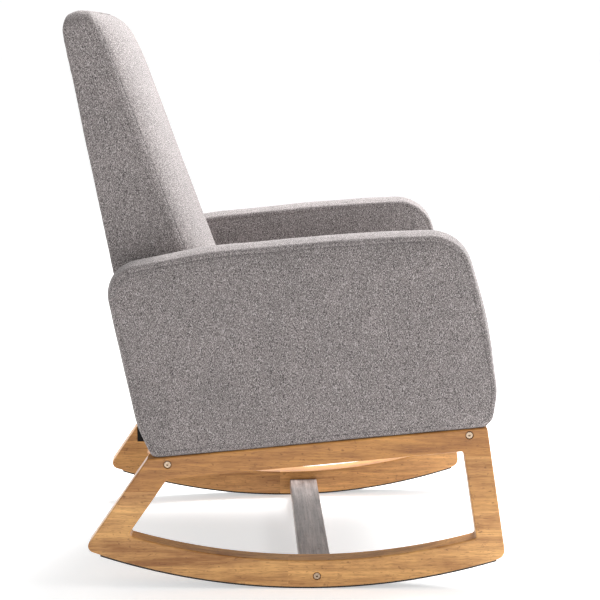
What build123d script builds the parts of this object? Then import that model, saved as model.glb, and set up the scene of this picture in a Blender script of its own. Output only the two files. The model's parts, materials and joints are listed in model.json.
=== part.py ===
"""Upholstered rocking chair on two flared wooden side frames.

Frame of reference: millimetres, +Z up, the sitter faces -Y and the sitter's right is -X.
The origin is on the floor, at the middle of the chair's bounding box.
Side profiles are drawn in (forward, up) coordinates, measured from the rockers' lowest point.
"""
from math import cos, radians, sin, sqrt, tan
import os

from build123d import *

os.makedirs("parts", exist_ok=True)

# Driving dimensions of the side frames
CONTACT_Y = -31.4  # where the rockers touch the floor, along Y
FRAME_HALF_WIDTH = 302.0  # centre to the outer face of a side frame, above the contact point
FLARE = 2.3  # degrees that each side frame opens towards the front
BOARD = 38.0  # thickness of a side frame
ROCKER_RADIUS = 1147.0
PAD_THICKNESS = 3.0
RUNNER_DEPTH = 48.5
REAR_LEG_WIDTH = 48.5
FRONT_LEG_WIDTH = 46.0
RAIL_DEPTH = 39.0
SEAT_TILT = 5.5  # degrees, front edge up
RAIL_TOP_HEIGHT = 261.3  # top of the rail above the contact point
RAIL_FRONT = 312.0
RAIL_REAR = -276.0
FRONT_LEAN = 8.95
REAR_RAKE = 34.6
ARRIS_RADIUS = 3.0
PAD_REAR, PAD_FRONT = -361.0, 333.0
REAR_LEG_JOINT = 176.0  # heights of the glued joints between the members
FRONT_LEG_JOINT = 142.0
FRONT_KNEE_JOINT = 240.0
RUNNER_JOINT = -32.0

# Crossbar and fasteners
CROSSBAR_CENTRE = (18.2, 23.2)
CROSSBAR_WIDTH, CROSSBAR_DEPTH = 56.0, 21.6
FRAME_BOLT_POINTS = ((-241.0, 225.0), (281.0, 277.5))
BOLT_RADIUS, BOLT_CLEARANCE = 3.0, 0.3
HEAD_RADIUS, HEAD_DEPTH = 6.0, 3.0
COUNTERBORE_RADIUS, COUNTERBORE_DEPTH = 7.4, 3.8
HEX_KEY, HEX_DEPTH = 4.0, 3.6
BARREL_NUT_RADIUS, BARREL_NUT_LENGTH = 5.0, 16.0
CROSSBAR_BOLT_REACH = 30.0
INSERT_RADIUS, INSERT_LENGTH = 5.0, 14.0

# Arms
ARM_PROUD = 4.0  # how far an arm stands outside its side frame
ARM_THICKNESS = 77.0
ARM_MEMBER = 30.0  # thickness of the wooden members inside the arm

# Seat box, cushion and back
SEAT_BOARD = 22.0
FRONT_BOARD = 35.0
SEAT_REAR, SEAT_FRONT = -262.0, 288.0
CUSHION_REAR, CUSHION_FRONT = -158.0, 298.0
PLATFORM_HEIGHT = 50.0
CUSHION_HEIGHT = 108.0
SOFT_GAP = 0.5
BACK_HALF_WIDTH = 215.0
POST_WIDTH = 25.0


def rail_top(forward):
    """Height of the tilted top face of the side rails."""
    return RAIL_TOP_HEIGHT + forward * tan(radians(SEAT_TILT))


def rail_bottom(forward):
    return rail_top(forward) - RAIL_DEPTH / cos(radians(SEAT_TILT))


def front_edge(up, inset=0.0):
    """Forward position of the leaning outer edge of the front leg."""
    lean = radians(FRONT_LEAN)
    return RAIL_FRONT + (rail_top(RAIL_FRONT) - up) * tan(lean) - inset / cos(lean)


def rear_edge(up, inset=0.0):
    """Forward position of the raked outer edge of the rear leg."""
    rake = radians(REAR_RAKE)
    return RAIL_REAR - (rail_top(RAIL_REAR) - up) * tan(rake) + inset / cos(rake)


SINE, COSINE = sin(radians(FLARE)), cos(radians(FLARE))
# Outer face of the sitter's right side frame: local x is forward, local y is up, normal is outward
RIGHT_SIDE = Plane(
    origin=(-FRAME_HALF_WIDTH, CONTACT_Y, 0), x_dir=(-SINE, -COSINE, 0), z_dir=(-COSINE, SINE, 0)
)
LEFT_SIDE = Plane(
    origin=(FRAME_HALF_WIDTH, CONTACT_Y, 0), x_dir=(SINE, -COSINE, 0), z_dir=(COSINE, SINE, 0)
)
# Middle plane of the chair, for the parts that run straight across it
MIDDLE = Plane(origin=(0, CONTACT_Y, 0), x_dir=(0, -1, 0), z_dir=(-1, 0, 0))


def save(piece, name):
    piece.label = name
    export_step(piece, f"parts/{name}.step")


def save_pair(right_piece, name):
    """Write a piece of the right side and its mirror image on the left."""
    save(right_piece, f"right_{name}")
    save(mirror(right_piece, about=Plane.YZ), f"left_{name}")


def save_group(pieces, name):
    """Write identical separate solids as one node."""
    save(Compound(children=list(pieces)), name)


def with_mirror(pieces):
    """The pieces and their mirror images on the other side of the chair."""
    pieces = list(pieces)
    return pieces + [mirror(piece, about=Plane.YZ) for piece in pieces]


# ---------------------------------------------------------------- side frames
with BuildSketch() as frame_outline:
    Polygon(
        (RAIL_FRONT, rail_top(RAIL_FRONT)),
        (RAIL_REAR, rail_top(RAIL_REAR)),
        (rear_edge(0), 0),
        (front_edge(0), 0),
        align=None,
    )
    with Locations((0, ROCKER_RADIUS)):
        Circle(ROCKER_RADIUS - PAD_THICKNESS, mode=Mode.INTERSECT)
    fillet(frame_outline.vertices().sort_by(Axis.X)[0], 12)
    fillet(frame_outline.vertices().sort_by(Axis.X)[-1], 17)
    fillet(frame_outline.vertices().sort_by(Axis.Y)[-1], 5)

with BuildSketch() as frame_opening:
    Polygon(
        (front_edge(rail_bottom(280), FRONT_LEG_WIDTH), rail_bottom(270)),
        (rear_edge(rail_bottom(-240), REAR_LEG_WIDTH), rail_bottom(-241)),
        (rear_edge(0, REAR_LEG_WIDTH), 0),
        (front_edge(0, FRONT_LEG_WIDTH), 0),
        align=None,
    )
    with Locations((0, ROCKER_RADIUS)):
        Circle(ROCKER_RADIUS - PAD_THICKNESS - RUNNER_DEPTH, mode=Mode.INTERSECT)
    fillet(frame_opening.vertices(), 6)

with BuildPart() as side_frame:
    with BuildSketch(RIGHT_SIDE):
        add(frame_outline.sketch_local)
        add(frame_opening.sketch_local, mode=Mode.SUBTRACT)
    extrude(amount=-BOARD)
    broad_faces = side_frame.faces().filter_by(GeomType.PLANE).sort_by(SortBy.AREA)[-2:]
    fillet(broad_faces.edges(), ARRIS_RADIUS)
    bolt_points = (*FRAME_BOLT_POINTS, CROSSBAR_CENTRE)
    with BuildSketch(RIGHT_SIDE):
        with Locations(*bolt_points):
            Circle(BOLT_RADIUS + BOLT_CLEARANCE)
    extrude(amount=-BOARD, mode=Mode.SUBTRACT)
    with BuildSketch(RIGHT_SIDE):
        with Locations(*bolt_points):
            Circle(COUNTERBORE_RADIUS)
    extrude(amount=-COUNTERBORE_DEPTH, mode=Mode.SUBTRACT)

KNEE = 255.0  # any forward position inside the opening, just behind the front leg
FAR = 600.0
MEMBER_REGIONS = {
    "top_rail": (
        (-FAR, REAR_LEG_JOINT),
        (KNEE, REAR_LEG_JOINT),
        (KNEE, FRONT_KNEE_JOINT),
        (FAR, FRONT_KNEE_JOINT),
        (FAR, FAR),
        (-FAR, FAR),
    ),
    "front_leg": (
        (KNEE, FRONT_LEG_JOINT),
        (FAR, FRONT_LEG_JOINT),
        (FAR, FRONT_KNEE_JOINT),
        (KNEE, FRONT_KNEE_JOINT),
    ),
    "front_runner": (
        (RUNNER_JOINT, -FAR),
        (FAR, -FAR),
        (FAR, FRONT_LEG_JOINT),
        (RUNNER_JOINT, FRONT_LEG_JOINT),
    ),
    "rear_runner": (
        (-FAR, -FAR),
        (RUNNER_JOINT, -FAR),
        (RUNNER_JOINT, REAR_LEG_JOINT),
        (-FAR, REAR_LEG_JOINT),
    ),
}
for member_name, region in MEMBER_REGIONS.items():
    with BuildPart() as member:
        add(side_frame.part)
        with BuildSketch(RIGHT_SIDE):
            Polygon(*region, align=None)
        extrude(amount=-BOARD, mode=Mode.INTERSECT)
    save_pair(member.part, member_name)

with BuildPart() as runner_pad:
    with BuildSketch(RIGHT_SIDE.offset(-ARRIS_RADIUS)):
        with Locations((0, ROCKER_RADIUS)):
            Circle(ROCKER_RADIUS)
            Circle(ROCKER_RADIUS - PAD_THICKNESS, mode=Mode.SUBTRACT)
        with Locations(((PAD_REAR + PAD_FRONT) / 2, 0)):
            Rectangle(PAD_FRONT - PAD_REAR, FAR, mode=Mode.INTERSECT)
    extrude(amount=-(BOARD - 2 * ARRIS_RADIUS))
save_pair(runner_pad.part, "runner_pad")

# ---------------------------------------------------------------- crossbar and its bolts
INNER_RIGHT, INNER_LEFT = RIGHT_SIDE.offset(-BOARD), LEFT_SIDE.offset(-BOARD)
with BuildPart() as crossbar:
    with BuildSketch(MIDDLE):
        with Locations(CROSSBAR_CENTRE):
            RectangleRounded(CROSSBAR_WIDTH, CROSSBAR_DEPTH, 2)
    extrude(amount=FRAME_HALF_WIDTH, both=True)
    split(bisect_by=INNER_RIGHT, keep=Keep.BOTTOM)
    split(bisect_by=INNER_LEFT, keep=Keep.BOTTOM)
    for end in (INNER_RIGHT, INNER_LEFT):
        up_sign = 1 if end is INNER_RIGHT else -1
        with BuildSketch(end):
            with Locations((CROSSBAR_CENTRE[0], up_sign * CROSSBAR_CENTRE[1])):
                Circle(BOLT_RADIUS + BOLT_CLEARANCE)
        extrude(amount=-CROSSBAR_BOLT_REACH - BARREL_NUT_RADIUS, mode=Mode.SUBTRACT)
        nut_centre = end.from_local_coords((CROSSBAR_CENTRE[0], 0, -CROSSBAR_BOLT_REACH + BARREL_NUT_RADIUS))
        with BuildSketch(Plane.XY.offset(CROSSBAR_CENTRE[1] - CROSSBAR_DEPTH / 2)):
            with Locations((nut_centre.X, nut_centre.Y)):
                Circle(BARREL_NUT_RADIUS + 0.1)
        extrude(amount=(CROSSBAR_DEPTH + BARREL_NUT_LENGTH) / 2, mode=Mode.SUBTRACT)
save(crossbar.part, "crossbar")

nut_point = INNER_RIGHT.from_local_coords((CROSSBAR_CENTRE[0], 0, -CROSSBAR_BOLT_REACH + BARREL_NUT_RADIUS))
with BuildPart() as barrel_nut:
    with BuildSketch(Plane.XY.offset(CROSSBAR_CENTRE[1] - BARREL_NUT_LENGTH / 2)):
        with Locations((nut_point.X, nut_point.Y)):
            Circle(BARREL_NUT_RADIUS)
    extrude(amount=BARREL_NUT_LENGTH)
    with BuildSketch(INNER_RIGHT):
        with Locations(CROSSBAR_CENTRE):
            Circle(BOLT_RADIUS)
    extrude(amount=-CROSSBAR_BOLT_REACH - BARREL_NUT_RADIUS, mode=Mode.SUBTRACT)
save_group(with_mirror([barrel_nut.part]), "crossbar_barrel_nuts")


def side_bolt(point, reach):
    """A countersunk-seat furniture bolt: flat head in the counterbore, shank through the board."""
    seat = RIGHT_SIDE.offset(-COUNTERBORE_DEPTH)
    with BuildPart() as bolt:
        with BuildSketch(seat):
            with Locations(point):
                Circle(HEAD_RADIUS)
        extrude(amount=HEAD_DEPTH)
        fillet(bolt.edges().filter_by(GeomType.CIRCLE).group_by(Axis.X)[0], 0.8)
        with BuildSketch(seat):
            with Locations(point):
                Circle(BOLT_RADIUS)
        extrude(amount=-(BOARD - COUNTERBORE_DEPTH + reach))
        with BuildSketch(seat.offset(HEAD_DEPTH)):
            with Locations(point):
                RegularPolygon(HEX_KEY / 2, 6, major_radius=False)
        extrude(amount=-HEX_DEPTH, mode=Mode.SUBTRACT)
    return bolt.part


save_group(with_mirror([side_bolt(CROSSBAR_CENTRE, CROSSBAR_BOLT_REACH)]), "crossbar_bolts")
frame_bolts = [side_bolt(point, SEAT_BOARD - 2) for point in FRAME_BOLT_POINTS]
save_group(with_mirror(frame_bolts), "frame_bolts")

# ---------------------------------------------------------------- seat box between the side frames
ARM_SCREW_POINTS = tuple(INNER_RIGHT.from_local_coords((forward, 0, -6)) for forward in (-190.0, 210.0))
SCREW_RADIUS, SCREW_LENGTH, SCREW_SINK = 2.5, 55.0, 25.0


def arm_screw_holes():
    """The upright holes of the right arm's screws, as a tall tool to cut with."""
    with BuildPart() as holes:
        with BuildSketch(Plane.XY):
            with Locations(*[(point.X, point.Y) for point in ARM_SCREW_POINTS]):
                Circle(SCREW_RADIUS)
        extrude(amount=FAR)
    return holes.part


BOX_BOTTOM_GAP = 6.0
SIDE_FRONT = SEAT_FRONT - 2.5  # the flare carries the side boards' ends forwards by this much
with BuildPart() as seat_side_board:
    with BuildSketch(INNER_RIGHT):
        Polygon(
            (SEAT_REAR, rail_bottom(SEAT_REAR) + BOX_BOTTOM_GAP),
            (SIDE_FRONT, rail_bottom(SIDE_FRONT) + BOX_BOTTOM_GAP),
            (SIDE_FRONT, rail_top(SIDE_FRONT)),
            (SEAT_REAR, rail_top(SEAT_REAR)),
            align=None,
        )
    extrude(amount=-SEAT_BOARD)
    with BuildSketch(INNER_RIGHT):
        with Locations(*FRAME_BOLT_POINTS):
            Circle(INSERT_RADIUS)
    extrude(amount=-INSERT_LENGTH, mode=Mode.SUBTRACT)
    with BuildSketch(INNER_RIGHT):
        with Locations(*FRAME_BOLT_POINTS):
            Circle(BOLT_RADIUS)
    extrude(amount=-SEAT_BOARD, mode=Mode.SUBTRACT)
save_pair(seat_side_board.part - arm_screw_holes(), "seat_side_board")

with BuildPart() as threaded_inserts:
    with BuildSketch(INNER_RIGHT):
        with Locations(*FRAME_BOLT_POINTS):
            Circle(INSERT_RADIUS)
            Circle(BOLT_RADIUS, mode=Mode.SUBTRACT)
    extrude(amount=-INSERT_LENGTH)
save_group(with_mirror(threaded_inserts.solids()), "threaded_inserts")

ARM_INNER_RIGHT = RIGHT_SIDE.offset(ARM_PROUD - ARM_THICKNESS - SOFT_GAP)
ARM_INNER_LEFT = LEFT_SIDE.offset(ARM_PROUD - ARM_THICKNESS - SOFT_GAP)
BOX_RIGHT, BOX_LEFT = INNER_RIGHT.offset(-SEAT_BOARD), LEFT_SIDE.offset(-BOARD - SEAT_BOARD)


BACK_BOLT_POINT = (188.5, 226.0)
BACK_BOLT_LENGTH = 50.0
back_bolt_plane = Plane(origin=(0, CONTACT_Y + 204, 0), x_dir=(1, 0, 0), z_dir=(0, -1, 0))


def back_bolt_shanks():
    """The shanks of the two bolts along Y that hold the back posts, also a tool for their holes."""
    with BuildPart() as shanks:
        with BuildSketch(back_bolt_plane):
            with Locations(BACK_BOLT_POINT, (-BACK_BOLT_POINT[0], BACK_BOLT_POINT[1])):
                Circle(BOLT_RADIUS)
        extrude(amount=-BACK_BOLT_LENGTH)
    return shanks.part


def cross_board(rear, front, bottom, top, right=BOX_RIGHT, left=BOX_LEFT):
    """A board that runs across the chair, cut to the flare of the sides.

    bottom and top are heights above the tilted underside of the side rails.
    """
    with BuildPart() as board:
        with BuildSketch(MIDDLE):
            Polygon(
                (rear, rail_bottom(rear) + bottom),
                (front, rail_bottom(front) + bottom),
                (front, rail_bottom(front) + top),
                (rear, rail_bottom(rear) + top),
                align=None,
            )
        extrude(amount=FRAME_HALF_WIDTH, both=True)
        split(bisect_by=right, keep=Keep.BOTTOM)
        split(bisect_by=left, keep=Keep.BOTTOM)
    return board.part


RAIL_RISE = RAIL_DEPTH / cos(radians(SEAT_TILT))
save(cross_board(SEAT_FRONT - FRONT_BOARD, SEAT_FRONT, BOX_BOTTOM_GAP, RAIL_RISE), "seat_front_board")
front_rail_top = RAIL_RISE + PLATFORM_HEIGHT - 12
BETWEEN_ARMS = (ARM_INNER_RIGHT, ARM_INNER_LEFT)
front_rail = cross_board(SEAT_FRONT - FRONT_BOARD, SEAT_FRONT, RAIL_RISE, front_rail_top, *BETWEEN_ARMS)
save(front_rail, "seat_front_rail")
REAR_BOARD_REAR = -226.0
REAR_BOARD_FRONT = REAR_BOARD_REAR + SEAT_BOARD
seat_rear_board = cross_board(REAR_BOARD_REAR, REAR_BOARD_FRONT, BOX_BOTTOM_GAP, RAIL_RISE)
save(seat_rear_board - back_bolt_shanks(), "seat_rear_board")
save(cross_board(20, 42, BOX_BOTTOM_GAP, RAIL_RISE), "seat_middle_board")
CLOTH_BOTTOM, CLOTH_TOP = BOX_BOTTOM_GAP - 2, BOX_BOTTOM_GAP - 0.5
save(cross_board(SEAT_REAR, SEAT_FRONT, CLOTH_BOTTOM, CLOTH_TOP, INNER_RIGHT, INNER_LEFT), "dust_cover")

BLOCK = 45.0
with BuildPart() as corner_block:
    block_corner = BOX_RIGHT.from_local_coords((SEAT_FRONT - FRONT_BOARD - 3, 0, 0))
    block_plane = Plane(block_corner, x_dir=(1, 0, 0), z_dir=(0, 0, 1))
    block_bottom = rail_bottom(SEAT_FRONT - FRONT_BOARD) + BOX_BOTTOM_GAP + 1
    with BuildSketch(block_plane.offset(block_bottom)):
        Polygon((2.6, 0), (BLOCK, 0), (0.8, BLOCK), align=None)
    extrude(amount=24)
    split(bisect_by=BOX_RIGHT, keep=Keep.BOTTOM)
save_group(with_mirror([corner_block.part]), "seat_corner_blocks")

DECK_THICKNESS = 12.0
DECK_REAR, DECK_FRONT = CUSHION_REAR - 20, SEAT_FRONT - FRONT_BOARD
DECK_TOP = RAIL_RISE + DECK_THICKNESS
save(cross_board(DECK_REAR, DECK_FRONT, RAIL_RISE, DECK_TOP, *BETWEEN_ARMS), "seat_deck")

PLATFORM_TOP = RAIL_RISE + PLATFORM_HEIGHT
platform = cross_board(CUSHION_REAR, DECK_FRONT - SOFT_GAP, DECK_TOP + SOFT_GAP, PLATFORM_TOP, *BETWEEN_ARMS)
save(platform, "seat_platform")

PAD_BACK, PAD_LIP = SEAT_FRONT + 1, 6.0
LIP_FOOT = rail_bottom(SEAT_FRONT) + CLOTH_BOTTOM
LIP_STEP = rail_top(SEAT_FRONT) - SOFT_GAP


def front_lip(foot, top, right, left):
    """A slice of the padding over the front of the seat, between two heights."""
    with BuildPart() as lip:
        with BuildSketch(MIDDLE):
            Polygon(
                (PAD_BACK, foot),
                (PAD_BACK + 2 * PAD_LIP, foot),
                (PAD_BACK + PAD_LIP, top),
                (PAD_BACK, top),
                align=None,
            )
        extrude(amount=FRAME_HALF_WIDTH, both=True)
        split(bisect_by=right, keep=Keep.BOTTOM)
        split(bisect_by=left, keep=Keep.BOTTOM)
    return lip.part


# The padding is wide between the side frames and narrower between the arms above them
lower_lip = front_lip(LIP_FOOT, LIP_STEP, INNER_RIGHT.offset(-SOFT_GAP), INNER_LEFT.offset(-SOFT_GAP))
upper_lip = front_lip(LIP_FOOT, rail_top(SEAT_FRONT) + PLATFORM_HEIGHT, *BETWEEN_ARMS)
with BuildPart() as seat_front_pad:
    add(upper_lip)
    add(lower_lip)
save(seat_front_pad.part, "seat_front_pad")

with BuildPart() as seat_cushion:
    low, high = PLATFORM_HEIGHT + SOFT_GAP, PLATFORM_HEIGHT + CUSHION_HEIGHT
    with BuildSketch(MIDDLE) as cushion_profile:
        Polygon(
            (CUSHION_REAR + 4, rail_top(CUSHION_REAR) + low),
            (CUSHION_FRONT, rail_top(CUSHION_FRONT) + low),
            (CUSHION_FRONT, rail_top(CUSHION_FRONT) + high),
            (CUSHION_REAR + 4, rail_top(CUSHION_REAR) + high),
            align=None,
        )
        fillet(cushion_profile.vertices().sort_by(Axis.X)[-2:], 22)
    extrude(amount=FRAME_HALF_WIDTH, both=True)
    split(bisect_by=ARM_INNER_RIGHT.offset(-SOFT_GAP), keep=Keep.BOTTOM)
    split(bisect_by=ARM_INNER_LEFT.offset(-SOFT_GAP), keep=Keep.BOTTOM)
save(seat_cushion.part, "seat_cushion")

# ---------------------------------------------------------------- arms
ARM_OUTER = RIGHT_SIDE.offset(ARM_PROUD)
ARM_MEMBER_PLANE = RIGHT_SIDE.offset(ARM_PROUD - (ARM_THICKNESS - ARM_MEMBER) / 2)
ARM_SEAT = 0.5  # the arm stands this far above the rail
ARM_REAR_FOOT, ARM_FRONT_FOOT = (-266.0, rail_top(-266) + ARM_SEAT), (312.0, rail_top(312) + ARM_SEAT)
ARM_REAR_TOP, ARM_FRONT_TOP, ARM_FRONT_BULGE = (-346.0, 562.0), (264.0, 630.0), (327.0, 355.0)
ARM_TOP_LINE = ((-165.0, 601.0), (40.0, 620.0), (150.0, 627.0))
ARM_OUTLINE = (ARM_REAR_FOOT, ARM_REAR_TOP, *ARM_TOP_LINE, ARM_FRONT_TOP, ARM_FRONT_BULGE, ARM_FRONT_FOOT)
ARM_ROUNDINGS = {ARM_REAR_FOOT: 34.0, ARM_REAR_TOP: 48.0, ARM_FRONT_TOP: 62.0, ARM_FRONT_BULGE: 70.0}
# The wooden ring inside an arm: outer and inner corners, from rear low round to front low
RING_OUTER = (
    (-256.0, rail_top(-256) + ARM_SEAT),
    (-308.0, 535.0),
    (250.0, 598.0),
    (299.0, rail_top(299) + ARM_SEAT),
)
RING_INNER = (
    (-226.0, rail_top(-226) + 42),
    (-270.0, 500.0),
    (168.0, 553.0),
    (204.0, rail_top(204) + 42),
)
# The rear half of each arm is hollow between its fabric walls, down to its underside
ARM_WALL = 6.0
HOLLOW_FRONT = 0.0
HOLLOW_LOW, HOLLOW_HIGH = (-222.0, 200.0), (-266.0, 496.0)
ARM_HOLLOW = (HOLLOW_LOW, HOLLOW_HIGH, (HOLLOW_FRONT, 528.0), (HOLLOW_FRONT, 200.0))
RING_MEMBERS = {"arm_rear_post": (0, 1), "arm_top_bar": (1, 2), "arm_front_post": (2, 3), "arm_sill": (3, 0)}

for member_name, (start, end) in RING_MEMBERS.items():
    with BuildPart() as arm_member:
        with BuildSketch(ARM_MEMBER_PLANE):
            Polygon(RING_OUTER[start], RING_OUTER[end], RING_INNER[end], RING_INNER[start], align=None)
        extrude(amount=-ARM_MEMBER)
    save_pair(arm_member.part - arm_screw_holes(), member_name)

with BuildPart() as arm_padding:
    with BuildSketch(ARM_OUTER) as arm_profile:
        Polygon(*ARM_OUTLINE, align=None)
        for corner, radius in ARM_ROUNDINGS.items():
            fillet(arm_profile.vertices().sort_by_distance(corner)[0], radius)
    extrude(amount=-ARM_THICKNESS)
    arm_faces = arm_padding.faces().filter_by(GeomType.PLANE).sort_by(SortBy.AREA)[-2:]
    upper_edges = ShapeList(e for e in arm_faces.edges() if e.center().Z > rail_top(312) + 6)
    fillet(upper_edges, 10)
    with BuildSketch(ARM_MEMBER_PLANE):
        Polygon(*RING_OUTER, align=None)
        Polygon(*RING_INNER, align=None, mode=Mode.SUBTRACT)
    extrude(amount=-ARM_MEMBER, mode=Mode.SUBTRACT)
    with BuildSketch(ARM_OUTER.offset(-ARM_WALL)):
        Polygon(*ARM_HOLLOW, align=None)
    extrude(amount=-(ARM_THICKNESS - 2 * ARM_WALL), mode=Mode.SUBTRACT)


def pad_piece(*regions, outer=0.0, inner=ARM_THICKNESS):
    """The part of an arm's padding inside a (forward, up) region, between two depths from its outer face."""
    with BuildPart() as piece:
        add(arm_padding.part)
        with BuildSketch(ARM_OUTER.offset(-outer)):
            Polygon(*regions, align=None)
        extrude(amount=-(inner - outer), mode=Mode.INTERSECT)
    return piece.part


REAR_HALF = ((-FAR, 0), (HOLLOW_FRONT, 0), (HOLLOW_FRONT, FAR * 2), (-FAR, FAR * 2))
FRONT_HALF = ((HOLLOW_FRONT, 0), (FAR, 0), (FAR, FAR * 2), (HOLLOW_FRONT, FAR * 2))
REAR_STRIP = ((-FAR, 0), HOLLOW_LOW, HOLLOW_HIGH, (-FAR, HOLLOW_HIGH[1]))
UPPER_STRIP = ((-FAR, HOLLOW_HIGH[1]), HOLLOW_HIGH, ARM_HOLLOW[2], (HOLLOW_FRONT, FAR * 2), (-FAR, FAR * 2))
CORE = {"outer": ARM_WALL, "inner": ARM_THICKNESS - ARM_WALL}
save_pair(pad_piece(*FRONT_HALF), "arm_front_pad")
save_pair(pad_piece(*REAR_HALF, inner=ARM_WALL), "arm_outer_panel")
save_pair(pad_piece(*REAR_HALF, outer=ARM_THICKNESS - ARM_WALL), "arm_inner_panel")
save_pair(pad_piece(*REAR_STRIP, **CORE), "arm_rear_pad")
save_pair(pad_piece(*UPPER_STRIP, **CORE), "arm_top_pad")

arm_screws = []
for point in ARM_SCREW_POINTS:
    screw_foot = rail_top(CONTACT_Y - point.Y) - SCREW_SINK
    with BuildPart() as arm_screw:
        with BuildSketch(Plane.XY.offset(screw_foot)):
            with Locations((point.X, point.Y)):
                Circle(SCREW_RADIUS)
        extrude(amount=SCREW_LENGTH)
    arm_screws.append(arm_screw.part)
save_group(with_mirror(arm_screws), "arm_screws")

# ---------------------------------------------------------------- back
REAR_LINE_SLOPE = 0.188  # how far the back leans rearwards for each unit of height
BACK_FOOT, BACK_TOP = 300.0, 1000.0


def back_rear(up, inset=0.0):
    """Forward position of the rear face of the back, or of a line inset from it."""
    return -335.5 - (up - 562) * REAR_LINE_SLOPE + inset


BACK_OUTLINE = (
    (back_rear(BACK_FOOT), BACK_FOOT),
    (back_rear(965), 965.0),
    (back_rear(965, 24), BACK_TOP - 2),
    (-338.0, BACK_TOP),
    (-316.0, 975.0),
    (-275.0, 880.0),
    (-240.0, 780.0),
    (-205.0, 650.0),
    (-184.0, 540.0),
    (-166.0, 400.0),
    (-166.0, 330.0),
)
CAVITY_FRONT = (
    (-348.0, 950.0),
    (-302.0, 880.0),
    (-231.0, 650.0),
    (-192.0, 400.0),
    (-192.0, 300.0),
)
CAVITY_FOOT, CAVITY_TOP = 300.0, 950.0
BACK_WALL, BACK_SKIN = 8.0, 4.0
with BuildPart() as back_padding:
    with BuildSketch(MIDDLE):
        Polygon(*BACK_OUTLINE, align=None)
    extrude(amount=BACK_HALF_WIDTH, both=True)
    fillet(back_padding.edges().filter_by(Axis.X).sort_by(Axis.Z)[-4:], 8)
    with BuildSketch(MIDDLE):
        Polygon(
            (back_rear(CAVITY_FOOT, BACK_SKIN), CAVITY_FOOT),
            (back_rear(CAVITY_TOP, BACK_SKIN), CAVITY_TOP),
            *CAVITY_FRONT,
            align=None,
        )
    extrude(amount=BACK_HALF_WIDTH - BACK_WALL, both=True, mode=Mode.SUBTRACT)

CAVITY_LEFT = Plane.YZ.offset(BACK_HALF_WIDTH - BACK_WALL)
CAVITY_RIGHT = Plane.YZ.offset(BACK_WALL - BACK_HALF_WIDTH)
save_pair(split(back_padding.part, bisect_by=CAVITY_RIGHT, keep=Keep.BOTTOM), "back_side_panel")
middle_padding = split(back_padding.part, bisect_by=CAVITY_RIGHT, keep=Keep.TOP)
middle_padding = split(middle_padding, bisect_by=CAVITY_LEFT, keep=Keep.BOTTOM)
save(split(middle_padding, bisect_by=Plane.XY.offset(CAVITY_TOP), keep=Keep.TOP), "back_top_pad")
lower_padding = split(middle_padding, bisect_by=Plane.XY.offset(CAVITY_TOP), keep=Keep.BOTTOM)
back_front_pad, back_rear_panel = lower_padding.solids().sort_by(Axis.Y)
save(back_front_pad, "back_front_pad")
save(back_rear_panel, "back_rear_panel")

POST_DEPTH = 32.0
POST_REAR_INSET = 10.0
POST_FOOT = 214.0


def raked_bar(half_from, half_to, bottom, top, rear_inset, depth):
    """A straight bar of the back frame, parallel to the rear face, between two distances from the middle."""
    with BuildPart() as bar:
        with BuildSketch(MIDDLE.offset(half_from)):
            Polygon(
                (back_rear(bottom, rear_inset), bottom),
                (back_rear(top, rear_inset), top),
                (back_rear(top, rear_inset + depth), top),
                (back_rear(bottom, rear_inset + depth), bottom),
                align=None,
            )
        extrude(amount=half_to - half_from)
    return bar.part


POST_OUTER = BACK_HALF_WIDTH - BACK_WALL
POST_INNER = POST_OUTER - POST_WIDTH
back_post = raked_bar(POST_INNER, POST_OUTER, POST_FOOT, 940, POST_REAR_INSET, POST_DEPTH)
save_pair(back_post - back_bolt_shanks(), "back_post")
back_bar_heights = {"back_top_bar": 905.0, "back_middle_bar": 620.0, "back_lower_bar": 330.0}
for bar_name, bottom in back_bar_heights.items():
    save(raked_bar(-POST_INNER, POST_INNER, bottom, bottom + 35, POST_REAR_INSET, 22), bar_name)
WEB_HALF_WIDTH, WEB_INSET = 25.0, POST_REAR_INSET + 22
back_webs = [
    raked_bar(centre - WEB_HALF_WIDTH, centre + WEB_HALF_WIDTH, 331, 939, WEB_INSET, 2)
    for centre in (-120, 0, 120)
]
save_group(back_webs, "back_webbing")

# Black cloth valance that hangs below the rear of the back
APRON_TOP = BACK_FOOT - SOFT_GAP
APRON_HALF_WIDTH = 213.0
with BuildPart() as rear_apron:
    with BuildSketch(MIDDLE):
        Polygon(
            (-297.0, 246.0),
            (-297.0, 272.0),
            (back_rear(APRON_TOP), APRON_TOP),
            (back_rear(APRON_TOP, BACK_SKIN), APRON_TOP),
            (-284.0, 246.0),
            align=None,
        )
    extrude(amount=APRON_HALF_WIDTH, both=True)
save(rear_apron.part, "rear_apron")

with BuildPart() as back_bolts:
    add(back_bolt_shanks())
    with BuildSketch(back_bolt_plane):
        with Locations(BACK_BOLT_POINT, (-BACK_BOLT_POINT[0], BACK_BOLT_POINT[1])):
            Circle(HEAD_RADIUS)
    extrude(amount=HEAD_DEPTH)
save_group(back_bolts.solids(), "back_bolts")
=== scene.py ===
"""Looks of the upholstered rocking chair: sewn padded forms and procedural materials round the CAD frame.

Metres, +Z up, the sitter faces -Y. Profiles are drawn in millimetres as (forward, up), measured from the
rockers' contact line, and each side of the chair opens forwards by the flare angle.
"""
import json
import math

import bmesh
import bpy
import numpy as np
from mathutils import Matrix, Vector, noise


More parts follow.
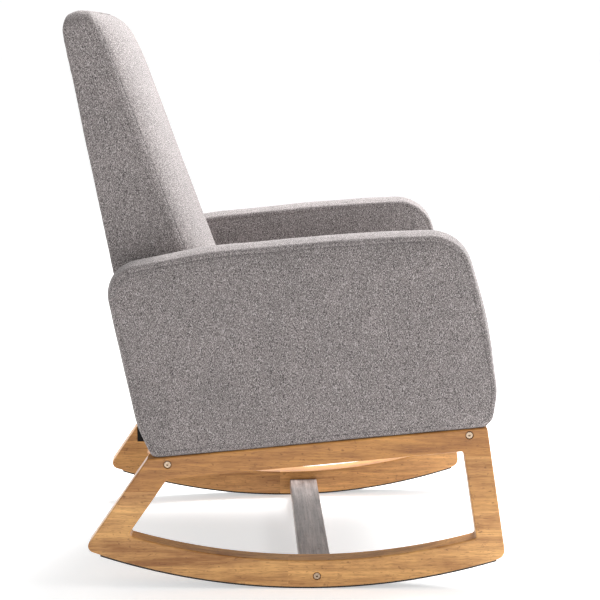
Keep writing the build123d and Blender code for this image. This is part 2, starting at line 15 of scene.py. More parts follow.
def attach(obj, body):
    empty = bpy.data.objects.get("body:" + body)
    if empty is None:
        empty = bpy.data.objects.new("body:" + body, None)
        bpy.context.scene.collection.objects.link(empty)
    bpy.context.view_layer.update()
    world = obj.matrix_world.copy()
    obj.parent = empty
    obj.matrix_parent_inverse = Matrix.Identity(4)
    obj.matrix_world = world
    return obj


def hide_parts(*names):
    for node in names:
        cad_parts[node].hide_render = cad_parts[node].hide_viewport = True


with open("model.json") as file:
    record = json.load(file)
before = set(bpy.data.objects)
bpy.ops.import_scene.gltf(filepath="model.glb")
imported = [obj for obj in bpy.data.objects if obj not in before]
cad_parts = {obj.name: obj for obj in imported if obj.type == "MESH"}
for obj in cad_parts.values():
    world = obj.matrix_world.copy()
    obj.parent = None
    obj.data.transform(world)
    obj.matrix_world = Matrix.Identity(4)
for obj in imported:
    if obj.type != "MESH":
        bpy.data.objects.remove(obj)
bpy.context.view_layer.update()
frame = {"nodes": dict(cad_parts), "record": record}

MM = 0.001
MOUNTS = {mount["name"]: mount for mount in frame["record"]["mounts"]}
CONTACT_Y = MOUNTS["rocker_contact"]["pos_m"][1] / MM

# Design dimensions shared with the frame, in millimetres and degrees
FLARE = math.radians(2.3)
FRAME_HALF_WIDTH, FRAME_BOARD = 302.0, 38.0
SEAT_TILT = math.radians(5.5)
RAIL_TOP_HEIGHT = 261.3
ARM_PROUD, ARM_THICKNESS = 4.0, 77.0
BACK_FOOT, BACK_TOP, BACK_HALF_WIDTH = 300.0, 1000.0, 215.0
BACK_LEAN = 0.188
BACK_REAR_POINT = (-338.5, 562.0)  # (forward, up) of one point of the back's rear face
LEFT, RIGHT = 1, -1


def rail_top(forward):
    """Height of the tilted top of the side frames."""
    return RAIL_TOP_HEIGHT + forward * math.tan(SEAT_TILT)


# ---------------------------------------------------------------- outlines and padded forms
def rounded_outline(corners, count):
    """Evenly spaced points round a closed polygon of (x, y, radius) corners."""
    dense = []
    for index, (x, y, radius) in enumerate(corners):
        here = np.array((x, y), float)
        before = np.array(corners[index - 1][:2], float) - here
        after = np.array(corners[(index + 1) % len(corners)][:2], float) - here
        reach = min(np.linalg.norm(before), np.linalg.norm(after)) * 0.49
        before, after = before / np.linalg.norm(before), after / np.linalg.norm(after)
        half = math.acos(np.clip(before @ after, -1, 1)) / 2
        tangent = min(radius / math.tan(half), reach)
        radius = tangent * math.tan(half)
        middle = (before + after) / np.linalg.norm(before + after)
        centre = here + middle * radius / math.sin(half)
        start, end = here + before * tangent - centre, here + after * tangent - centre
        angle = math.atan2(start[1], start[0])
        turn = math.atan2(start[0] * end[1] - start[1] * end[0], start @ end)
        for step in np.linspace(0, 1, 24):
            swept = angle + turn * step
            dense.append(centre + radius * np.array((math.cos(swept), math.sin(swept))))
    dense = np.array(dense + dense[:1])
    lengths = np.concatenate(([0], np.cumsum(np.linalg.norm(np.diff(dense, axis=0), axis=1))))
    wanted = np.linspace(0, lengths[-1], count, endpoint=False)
    return np.stack([np.interp(wanted, lengths, dense[:, axis]) for axis in (0, 1)], axis=1)


def nearest_on(spine, points):
    """The point of the straight spine nearest to each point."""
    start, end = np.array(spine[0], float), np.array(spine[1], float)
    along = end - start
    share = np.clip(((points - start) @ along) / (along @ along), 0, 1)
    return start + share[:, None] * along


def mesh_from_rings(name, rings):
    """A closed mesh skinned over rings of equal length; the first and last have shrunk to a line."""
    count = len(rings[0])
    vertices = [point for ring in rings for point in ring]
    faces = []
    for ring in range(len(rings) - 1):
        for step in range(count):
            following = (step + 1) % count
            low, high = ring * count, (ring + 1) * count
            faces.append((low + step, low + following, high + following, high + step))
    mesh = bpy.data.meshes.new(name)
    mesh.from_pydata(vertices, [], faces)
    work = bmesh.new()
    work.from_mesh(mesh)
    bmesh.ops.remove_doubles(work, verts=work.verts, dist=0.00004)
    bmesh.ops.dissolve_degenerate(work, edges=work.edges, dist=0.00002)
    bmesh.ops.recalc_face_normals(work, faces=work.faces)
    work.to_mesh(mesh)
    work.free()
    mesh.polygons.foreach_set("use_smooth", [True] * len(mesh.polygons))
    piece = bpy.data.objects.new(name, mesh)
    bpy.context.collection.objects.link(piece)
    return piece


SEAM_WIDTH, SEAM_DEPTH = 1.2, 1.1
SEAM_SAMPLES = (-2.8, -1.4, 0.0, 1.4, 2.8)
FACE_SHARES = (0.03, 0.07, 0.12, 0.2, 0.32, 0.48, 0.66, 0.84)
EDGE_STEPS, BAND_STEPS = 5, 9


def face_sections(seam, reach):
    """Insets of the samples across a face, closest together at the seam and ending at the spine."""
    at_seam = [seam + offset for offset in SEAM_SAMPLES]
    inside = [at_seam[-1] + reach * share for share in FACE_SHARES]
    return at_seam + inside + [None]


def edge_sections(radius):
    """(inset, drop) of samples round an edge of that radius, from the face to the band."""
    angles = [math.pi / 2 * step / EDGE_STEPS for step in range(1, EDGE_STEPS + 1)]
    return [(radius * (1 - math.sin(angle)), radius * (1 - math.cos(angle))) for angle in angles]


def pucker_wave(run):
    """Irregular small gathers along a seam, deeper on some stretches of it than on others."""
    gathers = math.sin(run / 3.1 + 2.2 * math.sin(run / 23.0))
    return gathers * (0.4 + noise.noise(Vector((run / 45.0, 3.3, 0))))


def ring_sections(seam, reach, radius, band_crown):
    """(inset, zone, value) of each ring of a padded form, from the middle of its top down to its bottom."""
    faces = face_sections(seam, reach)
    edges = edge_sections(radius)
    band = np.linspace(1, -1, BAND_STEPS)[1:-1]
    sections = [(inset, "top", 0) for inset in reversed(faces)]
    sections += [(inset, "top edge", drop) for inset, drop in edges]
    sections += [(-band_crown * (1 - share * share), "band", share) for share in band]
    sections += [(inset, "bottom edge", drop) for inset, drop in reversed(edges)]
    sections += [(inset, "bottom", 0) for inset in faces]
    return sections


def everywhere(x, y):
    """Seams that show all the way round."""
    return 1.0


PUCKER_REACH = 7.0
THREAD_LIFT, NORMAL_LIFT = 0.5, 10


def padded_form(name, outline, spine, place, top, bottom, seam=9.0, radius=6.0, crown=(5.0, 5.0), rise=40.0,
                band_crown=2.0, pucker=0.5, softness=0.8, sewn=everywhere):
    """A boxed cushion: two crowned faces and a bulging band between them, sewn together at two seams.

    outline lies in the plane of the faces; top(x, y) and bottom(x, y) are the faces' heights over it;
    crown is how far each face swells; place(x, y, height) gives a world point in metres; sewn(x, y) fades
    the seams out where it is 0. Returns the object and the world points and normals of its upper seam.
    """
    inward = nearest_on(spine, outline) - outline
    reach = np.linalg.norm(inward, axis=1)
    inward /= reach[:, None]
    run = np.cumsum(np.linalg.norm(outline - np.roll(outline, 1, axis=0), axis=1))

    def swell(x, y, far, amount):
        """Height of a face over its plane at that distance in from the edge."""
        groove = sewn(x, y) * SEAM_DEPTH * math.exp(-(((far - seam) / SEAM_WIDTH) ** 2))
        return amount * (1 - math.exp(-max(far - seam, 0.0) / rise)) - groove

    def level(zone, value, x, y, far, ripple):
        high, low = top(x, y), bottom(x, y)
        if zone == "top":
            return high + swell(x, y, far, crown[0]) + ripple
        if zone == "bottom":
            return low - swell(x, y, far, crown[1]) - ripple
        if zone == "top edge":
            return high - value
        if zone == "bottom edge":
            return low + value
        return (high + low) / 2 + value * ((high - low) / 2 - radius)

    rings = []
    for inset, zone, value in ring_sections(seam, reach.min(), radius, band_crown):
        ring = []
        for index, point in enumerate(outline):
            far = reach[index] if inset is None else min(inset, reach[index])
            x, y = point + inward[index] * far
            close = math.exp(-(((far - seam) / PUCKER_REACH) ** 2))
            ripple = sewn(x, y) * pucker * pucker_wave(run[index]) * close
            ring.append(Vector(place(x, y, level(zone, value, x, y, far, ripple))))
        rings.append(ring)
    piece = mesh_from_rings(name, rings)
    soften(piece, softness)
    subdivision = piece.modifiers.new("smooth", "SUBSURF")
    subdivision.levels = subdivision.render_levels = 1
    seam_at = outline + inward * seam
    over = [level("top", 0, x, y, seam, 0) for x, y in seam_at]
    path = [place(x, y, height + THREAD_LIFT) for (x, y), height in zip(seam_at, over)]
    above = [place(x, y, height + NORMAL_LIFT) for (x, y), height in zip(seam_at, over)]
    normals = (np.array(above) - np.array(path)) / ((NORMAL_LIFT - THREAD_LIFT) * MM)
    return piece, (path, normals)


def soften(piece, amount):
    """Slow unevenness of stuffed fabric: moves each point along its normal by about amount millimetres."""
    for vertex in piece.data.vertices:
        wave = noise.noise(vertex.co * 11.0) + 0.5 * noise.noise(vertex.co * 27.0)
        vertex.co += vertex.normal * wave * amount * MM


# ---------------------------------------------------------------- materials
class Nodes:
    """A small helper for building one material's node tree."""

    def __init__(self, name):
        self.material = bpy.data.materials.new(name)
        self.material.use_nodes = True
        self.tree = self.material.node_tree
        self.shader = self.tree.nodes["Principled BSDF"]
        self.coordinates = self.add("ShaderNodeTexCoord").outputs["Object"]

    def add(self, kind, **settings):
        node = self.tree.nodes.new(kind)
        for key, value in settings.items():
            setattr(node, key, value)
        return node

    def link(self, source, target):
        self.tree.links.new(source, target)

    def stretched(self, scale):
        node = self.add("ShaderNodeVectorMath", operation="MULTIPLY")
        self.link(self.coordinates, node.inputs[0])
        node.inputs[1].default_value = scale
        return node.outputs[0]

    def noise(self, scale, detail=2.0, roughness=0.5, distortion=0.0):
        node = self.add("ShaderNodeTexNoise")
        self.link(self.stretched(scale), node.inputs["Vector"])
        node.inputs["Scale"].default_value = 1.0
        node.inputs["Detail"].default_value = detail
        node.inputs["Roughness"].default_value = roughness
        node.inputs["Distortion"].default_value = distortion
        return node.outputs["Fac"]

    def math(self, operation, first, second):
        node = self.add("ShaderNodeMath", operation=operation)
        for socket, value in zip(node.inputs, (first, second)):
            if isinstance(value, (int, float)):
                socket.default_value = value
            else:
                self.link(value, socket)
        return node.outputs[0]

    def ramp(self, fac, stops):
        node = self.add("ShaderNodeValToRGB")
        elements = node.color_ramp.elements
        while len(elements) < len(stops):
            elements.new(0.5)
        for element, (position, colour) in zip(elements, stops):
            element.position = position
            element.color = (*colour, 1)
        self.link(fac, node.inputs["Fac"])
        return node.outputs["Color"]

    def mix(self, fac, first, second, blend="MIX"):
        node = self.add("ShaderNodeMix", data_type="RGBA", blend_type=blend)
        for socket, value in zip((node.inputs[0], node.inputs[6], node.inputs[7]), (fac, first, second)):
            if isinstance(value, (int, float)):
                socket.default_value = value
            elif isinstance(value, tuple):
                socket.default_value = (*value, 1)
            else:
                self.link(value, socket)
        return node.outputs[2]

    def bump(self, height, strength, distance):
        node = self.add("ShaderNodeBump")
        node.inputs["Strength"].default_value = strength
        node.inputs["Distance"].default_value = distance
        self.link(height, node.inputs["Height"])
        self.link(node.outputs["Normal"], self.shader.inputs["Normal"])

    def finish(self, colour=None, roughness=None, **sockets):
        if colour is not None:
            self.link(colour, self.shader.inputs["Base Color"])
        if roughness is not None:
            self.link(roughness, self.shader.inputs["Roughness"])
        for key, value in sockets.items():
            self.shader.inputs[key.replace("_", " ")].default_value = value
        return self.material


def tweed(name="heathered_tweed"):
    """Grey linen-look weave: short upright dark and light flecks over a finer cross thread."""
    nodes = Nodes(name)
    upright = nodes.noise((1250, 1250, 400), detail=2.5, roughness=0.6)
    across = nodes.noise((1050, 560, 1200), detail=2.0)
    fleck = nodes.math("ADD", nodes.math("MULTIPLY", upright, 0.66), nodes.math("MULTIPLY", across, 0.34))
    tone = nodes.ramp(fleck, (
        (0.39, (0.018, 0.016, 0.016)),
        (0.465, (0.145, 0.128, 0.126)),
        (0.53, (0.270, 0.242, 0.238)),
        (0.62, (0.62, 0.575, 0.565)),
    ))
    patch = nodes.ramp(nodes.noise((22, 22, 22), detail=3.0), (
        (0.3, (0.92, 0.92, 0.92)),
        (0.7, (1.05, 1.04, 1.04)),
    ))
    colour = nodes.mix(1.0, tone, patch, "MULTIPLY")
    threads = nodes.noise((1900, 1900, 1300), detail=1.0)
    nodes.bump(nodes.math("ADD", fleck, nodes.math("MULTIPLY", threads, 0.4)), 0.4, 0.0007)
    sheen = {"Sheen_Weight": 0.15, "Sheen_Roughness": 0.5}
    return nodes.finish(colour, Roughness=0.95, Specular_IOR_Level=0.2, **sheen)


def wood(name, dark, light, grain_axis=1, roughness=0.42, seed=0.0):
    """Oiled hardwood with streaks, fine grain and short pores along one axis."""
    nodes = Nodes(name)
    shift = nodes.add("ShaderNodeVectorMath", operation="ADD")
    nodes.link(nodes.coordinates, shift.inputs[0])
    shift.inputs[1].default_value = (seed, seed * 0.7, seed * 1.3)
    nodes.coordinates = shift.outputs[0]

    def along(across, length):
        return tuple(length if axis == grain_axis else across for axis in range(3))

    streak = nodes.noise(along(38, 3.5), detail=3.0, distortion=0.6)
    grain = nodes.noise(along(260, 11), detail=4.0, roughness=0.65)
    pores = nodes.noise(along(950, 70), detail=1.0)
    mottle = nodes.noise((30, 30, 30), detail=2.0)
    body = nodes.math("ADD", nodes.math("MULTIPLY", streak, 0.5), nodes.math("MULTIPLY", grain, 0.38))
    body = nodes.math("ADD", body, nodes.math("MULTIPLY", mottle, 0.12))
    colour = nodes.ramp(body, ((0.36, dark), (0.64, light)))
    pore_mask = nodes.ramp(pores, ((0.32, (0.62, 0.55, 0.50)), (0.44, (1, 1, 1))))
    colour = nodes.mix(0.7, colour, pore_mask, "MULTIPLY")
    specks = nodes.noise((170, 110, 170), detail=2.0)
    speck_mask = nodes.ramp(specks, ((0.26, (0.5, 0.42, 0.36)), (0.36, (1, 1, 1))))
    colour = nodes.mix(0.8, colour, speck_mask, "MULTIPLY")
    nodes.bump(nodes.math("ADD", pores, nodes.math("MULTIPLY", grain, 0.5)), 0.12, 0.0006)
    gloss = nodes.math("ADD", roughness - 0.08, nodes.math("MULTIPLY", grain, 0.16))
    return nodes.finish(colour, gloss, Coat_Weight=0.12, Coat_Roughness=0.25)


def plain_cloth(name, colour):
    """Thin non-woven or webbing cloth with a fine cross weave."""
    nodes = Nodes(name)
    weave = nodes.math("ADD", nodes.noise((900, 300, 900)), nodes.noise((300, 900, 900)))
    dim = tuple(channel * 0.6 for channel in colour)
    tone = nodes.ramp(nodes.math("MULTIPLY", weave, 0.5), ((0.4, dim), (0.6, colour)))
    nodes.bump(weave, 0.4, 0.0004)
    return nodes.finish(tone, Roughness=0.9, Specular_IOR_Level=0.2)


def rubber(name="anti_slip_rubber"):
    nodes = Nodes(name)
    speckle = nodes.noise((700, 700, 700), detail=2.0)
    tone = nodes.ramp(speckle, ((0.35, (0.014, 0.014, 0.014)), (0.7, (0.035, 0.033, 0.032))))
    nodes.bump(speckle, 0.5, 0.0003)
    return nodes.finish(tone, Roughness=0.8)


def plated_steel(name="plated_steel"):
    """Warm zinc plate with faint turning marks."""
    nodes = Nodes(name)
    marks = nodes.noise((900, 900, 900), detail=3.0)
    tone = nodes.ramp(marks, ((0.3, (0.30, 0.21, 0.14)), (0.7, (0.62, 0.50, 0.38))))
    gloss = nodes.math("ADD", 0.20, nodes.math("MULTIPLY", marks, 0.2))
    nodes.bump(marks, 0.15, 0.0002)
    return nodes.finish(tone, gloss, Metallic=1.0)


def thread(name="seam_thread"):
    nodes = Nodes(name)
    twist = nodes.noise((1800, 1800, 600), detail=1.0)
    tone = nodes.ramp(twist, ((0.35, (0.07, 0.065, 0.064)), (0.65, (0.16, 0.15, 0.148))))
    nodes.bump(twist, 0.5, 0.0002)
    return nodes.finish(tone, Roughness=0.85)


FABRIC = tweed()
THREAD = thread()
HONEY_DARK, HONEY_LIGHT = (0.30, 0.118, 0.027), (0.76, 0.41, 0.132)


def paint(piece, material):
    piece.data.materials.clear()
    piece.data.materials.append(material)


def paint_nodes(material, *words):
    """Give every CAD node whose name holds one of the words this material."""
    for name, node in frame["nodes"].items():
        if any(word in name for word in words):
            for index in range(len(node.material_slots)):
                node.material_slots[index].link = "OBJECT"
                node.material_slots[index].material = material


# ---------------------------------------------------------------- places
def side_place(side, face_offset):
    """Maps (forward, up, outwards) of one flared side of the chair to a world point in metres."""

    def place(forward, up, out):
        out += face_offset
        x = FRAME_HALF_WIDTH + forward * math.sin(FLARE) + out * math.cos(FLARE)
        y = CONTACT_Y - forward * math.cos(FLARE) + out * math.sin(FLARE)
        return side * x * MM, y * MM, up * MM

    return place


def back_place(across, along, depth):
    """Maps (sideways, up along the rear face, forward from it) of the raked back to a world point."""
    length = math.hypot(1, BACK_LEAN)
    rear_foot = BACK_REAR_POINT[0] - (BACK_FOOT - BACK_REAR_POINT[1]) * BACK_LEAN
    forward = rear_foot + (-BACK_LEAN * along + depth) / length
    up = BACK_FOOT + (along + BACK_LEAN * depth) / length
    return across * MM, (CONTACT_Y - forward) * MM, up * MM


def seat_place(across, forward, height):
    """Maps (sideways, forward, height over the tilted rail top) to a world point."""
    lift = height * math.cos(SEAT_TILT)
    slide = -height * math.sin(SEAT_TILT)
    return across * MM, (CONTACT_Y - forward - slide) * MM, (rail_top(forward) + lift) * MM


def panel_place(across, up, depth):
    """Maps (sideways, up, forward) of the upright front of the seat to a world point."""
    return across * MM, (CONTACT_Y - depth) * MM, up * MM


# ---------------------------------------------------------------- stitches
BEAD_PROFILE = ((0.0, 0.35), (0.25, 1.0), (0.75, 1.0), (1.0, 0.35))  # share of its length and radius
BEAD_SIDES = 6


def bead_points(start, end, side, up, radius):
    """The rings of points round one stitch, from its start to its end."""
    points = []
    for share, swell in BEAD_PROFILE:
        centre = start + (end - start) * share
        for corner in range(BEAD_SIDES):
            angle = math.pi / 3 * corner
            points.append(centre + (math.cos(angle) * side + math.sin(angle) * up) * radius * swell * MM)
    return points


def bead_faces(first):
    """The faces of one stitch whose points begin at that index."""
    faces = []
    last_ring = len(BEAD_PROFILE) - 1
    for ring in range(last_ring):
        low = first + ring * BEAD_SIDES
        high = low + BEAD_SIDES
        for corner in range(BEAD_SIDES):
            following = (corner + 1) % BEAD_SIDES
            faces.append((low + corner, low + following, high + following, high + corner))
    faces.append(tuple(first + corner for corner in reversed(range(BEAD_SIDES))))
    faces.append(tuple(first + last_ring * BEAD_SIDES + corner for corner in range(BEAD_SIDES)))
    return faces


def stitch_row(name, points, normals, pitch=6.5, length=4.2, radius=0.45):
    """Separate thread stitches laid along a closed path of world points, one small faceted bead each."""
    points = np.array(points)
    closed = np.vstack((points, points[:1]))
    lengths = np.concatenate(([0], np.cumsum(np.linalg.norm(np.diff(closed, axis=0), axis=1))))
    ups = np.vstack((normals, normals[:1]))
    vertices, faces = [], []

    def at(distance, table):
        return np.array([np.interp(distance, lengths, table[:, axis]) for axis in range(3)])

    for stop in np.arange(0, lengths[-1], pitch * MM):
        start, end = at(stop, closed), at(min(stop + length * MM, lengths[-1]), closed)
        axis = end - start
        if np.linalg.norm(axis) < 1e-5:
            continue
        axis /= np.linalg.norm(axis)
        side = np.cross(axis, at(stop, ups))
        side /= np.linalg.norm(side)
        faces += bead_faces(len(vertices))
        vertices += bead_points(start, end, side, np.cross(side, axis), radius)
    mesh = bpy.data.meshes.new(name)
    mesh.from_pydata([tuple(vertex) for vertex in vertices], [], faces)
    mesh.polygons.foreach_set("use_smooth", [True] * len(mesh.polygons))
    piece = bpy.data.objects.new(name, mesh)
    bpy.context.collection.objects.link(piece)
    paint(piece, THREAD)
    return piece


# ---------------------------------------------------------------- soft pieces
ARM_CORNERS = (
    (-268, rail_top(-268), 12),
    (-292, 292, 150),
    (-348, 562, 56),
    (-165, 597.5, 600),
    (40, 616, 800),
    (150, 623, 500),
    (264, 626.5, 80),
    (310, 468, 900),
    (327.5, 352, 110),
    (321, 303, 25),
    (308, rail_top(308), 8),
)
ARM_SPINE = ((-190, 415), (180, 455))
ARM_CROWN, ARM_FACE_INSET = 6.5, 4.5


def dress(piece, fill, *nodes):
    """Fabric and material slot of a padded piece that stands for those CAD nodes, which it hides, and its
    attachment to the chair.
    """
    paint(piece, FABRIC)
    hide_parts(*nodes)
    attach(piece, "root")


def sew(name, seam):
    """Thread stitches along a seam, riding with the chair."""
    stitches = stitch_row(name, *seam)
    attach(stitches, "root")


def above_rail(forward, up):
    """1 on the free edges of an arm, fading to 0 where its fabric is pulled under along the rail."""
    return min(max((up - rail_top(forward) - 20.0) / 30.0, 0.0), 1.0)


ARM_PARTS = ("front_pad", "outer_panel", "inner_panel", "rear_pad", "top_pad")


def make_arm(side, label):
    outline = rounded_outline(ARM_CORNERS, 300)
    place = side_place(side, ARM_PROUD - ARM_THICKNESS / 2)
    face = ARM_THICKNESS / 2 - ARM_FACE_INSET
    arm, seam = padded_form(
        f"{label}_arm_cover", outline, ARM_SPINE, place, lambda x, y: face, lambda x, y: -face,
        seam=11.0, radius=7.0, crown=(ARM_CROWN, ARM_CROWN), rise=20.0, band_crown=5.0, pucker=0.5,
        sewn=above_rail,
    )
    dress(arm, 0.9, *[f"{label}_arm_{part}" for part in ARM_PARTS])
    sew(f"{label}_arm_stitches", seam)


BACK_LENGTH = (BACK_TOP - BACK_FOOT) * math.hypot(1, BACK_LEAN) - 9.0
BACK_COVER_HALF = BACK_HALF_WIDTH - 2.0
TOP_ROUNDING = 34.0
BACK_SEAM = 8.0
BACK_CROWN, TOP_RISE = 51.0, 20.0
BAND_TOP, BAND_DEPTH_THERE, BAND_GROWTH = 994.0, 51.0, 0.165


def back_front(across, along):
    """The domed front of the back: its side band deepens towards the seat and its middle swells forwards."""
    band = BAND_DEPTH_THERE + (BAND_TOP - BACK_FOOT - along) * BAND_GROWTH
    sideways = min(abs(across) / BACK_COVER_HALF, 1.0)
    below_top = max(BACK_LENGTH - along, 0.0)
    dome = (1 - sideways**2.5) ** 0.6
    return band + BACK_CROWN * dome * (1 - math.exp(-below_top / TOP_RISE))


def back_rear(across, along):
    """The rear face, which turns forwards close to the top."""
    beyond = max(along - (BACK_LENGTH - TOP_ROUNDING), 0.0) / TOP_ROUNDING
    return 2.0 + 13.0 * beyond * beyond


def make_back():
    half = BACK_COVER_HALF
    corners = ((-half, 0, 8), (-half, BACK_LENGTH, 26), (half, BACK_LENGTH, 26), (half, 0, 8))
    outline = rounded_outline(corners, 320)
    spine = ((0, half), (0, BACK_LENGTH - half))
    back, seam = padded_form(
        "back_cover", outline, spine, back_place, back_front, back_rear,
        seam=BACK_SEAM, radius=5.0, crown=(0.0, 1.0), rise=24.0, band_crown=3.0, pucker=0.9,
    )
    sides = [f"{label}_back_side_panel" for label in ("left", "right")]
    dress(back, 0.85, "back_front_pad", "back_rear_panel", "back_top_pad", *sides)
    sew("back_stitches", seam)


SEAT_REAR, SEAT_FRONT = -154.0, 298.0
PLATFORM_FOOT, PLATFORM_FRONT, PLATFORM_HEIGHT = 14.0, 250, 50.5
CUSHION_TOP, CUSHION_CROWN = 158.0, 19.0
PANEL_FOOT, PANEL_BACK, PANEL_FACE = 255.0, 290.0, 300.0
CLEARANCE = 3.0


def seat_half_width(forward):
    """Half of the clear width between the two arms."""
    return FRAME_HALF_WIDTH + ARM_PROUD - ARM_THICKNESS + forward * math.tan(FLARE) - CLEARANCE


def frame_half_gap(forward):
    """Half of the clear width between the two side frames."""
    return FRAME_HALF_WIDTH - FRAME_BOARD + forward * math.tan(FLARE) - 1.0


def seat_outline(rear, front, rear_radius, front_radius):
    wide, narrow = seat_half_width(front), seat_half_width(rear)
    corners = (
        (-narrow, rear, rear_radius),
        (-wide, front, front_radius),
        (wide, front, front_radius),
        (narrow, rear, rear_radius),
    )
    return rounded_outline(corners, 280)


def make_cushion():
    outline = seat_outline(SEAT_REAR, SEAT_FRONT - 3, 16, 34)
    middle = (SEAT_REAR + SEAT_FRONT) / 2
    cushion, seam = padded_form(
        "seat_cushion_cover", outline, ((-30, middle), (30, middle)), seat_place,
        lambda x, y: CUSHION_TOP - 14, lambda x, y: PLATFORM_HEIGHT + 0.5,
        seam=9.0, radius=5.0, crown=(CUSHION_CROWN, 1.0), rise=55.0, band_crown=5.0, pucker=1.0,
        softness=1.2,
    )
    dress(cushion, 0.8, "seat_cushion")
    sew("seat_cushion_stitches", seam)


def make_seat_front():
    """The padding over the front of the seat, wide between the side frames and narrower between the arms."""
    narrow, wide = seat_half_width(SEAT_FRONT), frame_half_gap(SEAT_FRONT)
    step, high = rail_top(SEAT_FRONT) - 1, rail_top(SEAT_FRONT) + PLATFORM_HEIGHT + 1
    right_half = ((wide, PANEL_FOOT, 5), (wide, step, 3), (narrow, step, 3), (narrow, high, 8))
    corners = [(-x, y, radius) for x, y, radius in right_half] + list(reversed(right_half))
    outline, spine = rounded_outline(corners, 360), ((-narrow + 30, 297), (narrow - 30, 297))
    front, _ = padded_form(
        "seat_front_cover", outline, spine, panel_place, lambda x, y: PANEL_FACE, lambda x, y: PANEL_BACK,
        seam=8.0, radius=4.0, crown=(3.0, 0.0), rise=20.0, band_crown=0.5,
    )
    dress(front, 0.9, "seat_front_pad")


def make_platform():
    outline = seat_outline(SEAT_REAR, PLATFORM_FRONT, 8, 8)
    platform, _ = padded_form(
        "seat_platform_cover", outline, ((-60, 50), (60, 50)), seat_place,
        lambda x, y: PLATFORM_HEIGHT - 4, lambda x, y: PLATFORM_FOOT,
        seam=8.0, radius=5.0, crown=(2.0, 0.0), band_crown=1.0,
    )
    dress(platform, 0.9, "seat_platform")


# ---------------------------------------------------------------- wood, cloth and metal of the CAD nodes
MEMBER_TONES = {
    "top_rail": (0.79, 0.69, 0.52),
    "front_leg": (0.90, 0.86, 0.80),
    "front_runner": (1.10, 1.12, 1.18),
    "rear_runner": (1.06, 1.08, 1.14),
}
# Painted shade: the left side frame, away from the camera, is darkened to stand in for the shade it sits in;
# the right side is left as it is.
LEFT_PAINTED_SHADE, NO_PAINTED_SHADE = (0.90, 0.82, 0.70), (1.0, 1.0, 1.0)
BACK_BARS = ("back_top_bar", "back_middle_bar", "back_lower_bar")


# The colour times the member's tone and the side's painted shade.
def toned_and_shaded(colour, tone, painted_shade):
    return tuple(channel * part * more for channel, part, more in zip(colour, tone, painted_shade))


def paint_side_frames():
    """Honey-stained wood, a material of its own for each member so that the grain differs between them; the
    left side frame's wood is darkened as painted shade.
    """
    for seed, (member, tone) in enumerate(MEMBER_TONES.items()):
        for side_seed, label in enumerate(("left", "right")):
            # Painted shade darkens the left side's wood.
            painted_shade = LEFT_PAINTED_SHADE if label == "left" else NO_PAINTED_SHADE
            dark, light = toned_and_shaded(HONEY_DARK, tone, painted_shade), toned_and_shaded(HONEY_LIGHT, tone, painted_shade)
            material = wood(f"honey_wood_{label}_{member}", dark, light, seed=1.7 * seed + 0.9 * side_seed)
            paint_nodes(material, f"{label}_{member}")


def paint_other_nodes():
    bar = wood("stained_crossbar", (0.13, 0.098, 0.090), (0.66, 0.58, 0.56), grain_axis=0, roughness=0.36)
    paint_nodes(bar, "crossbar")
    raw = wood("raw_timber", (0.50, 0.34, 0.18), (0.74, 0.56, 0.34), grain_axis=0, roughness=0.7)
    paint_nodes(raw, "seat_front_rail", "seat_middle_board", "seat_deck", "corner_blocks")
    paint_nodes(raw, "arm_rear_post", "arm_top_bar", "arm_front_post", "arm_sill", *BACK_BARS)
    boards = wood("stained_boards", (0.20, 0.085, 0.028), (0.46, 0.24, 0.09), roughness=0.5, seed=9.1)
    paint_nodes(boards, "seat_side_board", "seat_front_board")
    cambric = plain_cloth("black_cambric", (0.016, 0.016, 0.017))
    paint_nodes(cambric, "dust_cover", "rear_apron", "back_post", "seat_rear_board")
    paint_nodes(plain_cloth("elastic_webbing", (0.42, 0.36, 0.27)), "webbing")
    paint_nodes(rubber(), "runner_pad")
    paint_nodes(plated_steel(), "bolts", "screws", "inserts", "nuts")


# ---------------------------------------------------------------- studio
CAMERA_PLACE = (-2.9096, CONTACT_Y * MM + 0.117, 0.9605)
CAMERA_YAW, CAMERA_PITCH = math.radians(2.318), math.radians(9.70)
CAMERA_LENS = 93.5


def make_camera():
    """A long lens on the sitter's right, a little above and turned slightly towards the front."""
    data = bpy.data.cameras.new("camera")
    data.lens = CAMERA_LENS
    data.sensor_width = 36.0
    camera = bpy.data.objects.new("camera", data)
    camera.location = CAMERA_PLACE
    flat = math.cos(CAMERA_PITCH)
    looking = Vector((math.cos(CAMERA_YAW) * flat, -math.sin(CAMERA_YAW) * flat, -math.sin(CAMERA_PITCH)))
    camera.rotation_mode = "QUATERNION"
    camera.rotation_quaternion = looking.to_track_quat("-Z", "Y")
    bpy.context.collection.objects.link(camera)
    bpy.context.scene.camera = camera


def area_light(name, place, aim, size, power):
    data = bpy.data.lights.new(name, "AREA")
    data.shape = "RECTANGLE"
    data.size, data.size_y = size
    data.energy = power
    light = bpy.data.objects.new(name, data)
    light.location = place
    light.rotation_mode = "QUATERNION"
    light.rotation_quaternion = (Vector(aim) - Vector(place)).to_track_quat("-Z", "Y")
    bpy.context.collection.objects.link(light)


def ramped(tree, source, reach, strength):
    """A socket that goes from one strength to the other as the source crosses its reach."""
    node = tree.nodes.new("ShaderNodeMapRange")
    node.inputs["From Min"].default_value, node.inputs["From Max"].default_value = reach
    node.inputs["To Min"].default_value, node.inputs["To Max"].default_value = strength
    tree.links.new(source, node.inputs["Value"])
    return node.outputs["Result"]


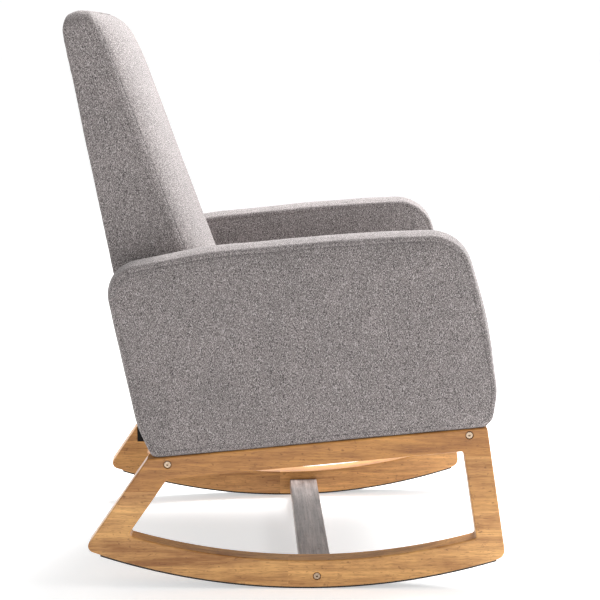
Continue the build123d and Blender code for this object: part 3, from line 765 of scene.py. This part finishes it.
def soft_surround():
    """A white studio whose horizon is bright and which is dimmer overhead and on the sitter's right."""
    world = bpy.data.worlds.new("studio")
    world.use_nodes = True
    tree = world.node_tree
    direction = tree.nodes.new("ShaderNodeTexCoord")
    axes = tree.nodes.new("ShaderNodeSeparateXYZ")
    tree.links.new(direction.outputs["Generated"], axes.inputs[0])
    strength = tree.nodes.new("ShaderNodeMath")
    strength.operation = "MULTIPLY"
    tree.links.new(ramped(tree, axes.outputs["X"], (-0.8, -0.1), (0.66, 1.02)), strength.inputs[0])
    tree.links.new(ramped(tree, axes.outputs["Z"], (0.25, 0.9), (1.0, 0.45)), strength.inputs[1])
    tree.links.new(strength.outputs[0], tree.nodes["Background"].inputs["Strength"])
    tree.nodes["Background"].inputs["Color"].default_value = (1, 1, 1, 1)
    return world


def make_floor():
    """A pale floor that glows a little, so that it is pure white away from the chair's shadow."""
    mesh = bpy.data.meshes.new("floor")
    work = bmesh.new()
    bmesh.ops.create_grid(work, x_segments=1, y_segments=1, size=60)
    work.to_mesh(mesh)
    work.free()
    floor = bpy.data.objects.new("floor", mesh)
    bpy.context.collection.objects.link(floor)
    nodes = Nodes("pale_floor")
    tone = nodes.ramp(nodes.noise((0.6, 0.6, 0.6)), ((0.0, (0.83, 0.83, 0.83)), (1.0, (0.86, 0.86, 0.86))))
    glow = {"Emission_Color": (1, 1, 1, 1), "Emission_Strength": 0.47}
    paint(floor, nodes.finish(tone, Roughness=0.6, Specular_IOR_Level=0.2, **glow))


def make_studio():
    scene = bpy.context.scene
    scene.view_settings.view_transform = "Standard"
    scene.world = soft_surround()
    make_floor()
    area_light("front_key", (-0.5, -3.1, 2.3), (0, -0.1, 0.5), (2.0, 1.6), 50)
    area_light("overhead", (1.5, -1.0, 3.0), (0, 0, 0.4), (2.2, 2.2), 255)


make_camera()
make_studio()
paint_side_frames()
paint_other_nodes()
make_arm(RIGHT, "right")
make_arm(LEFT, "left")
make_back()
make_cushion()
make_seat_front()
make_platform()
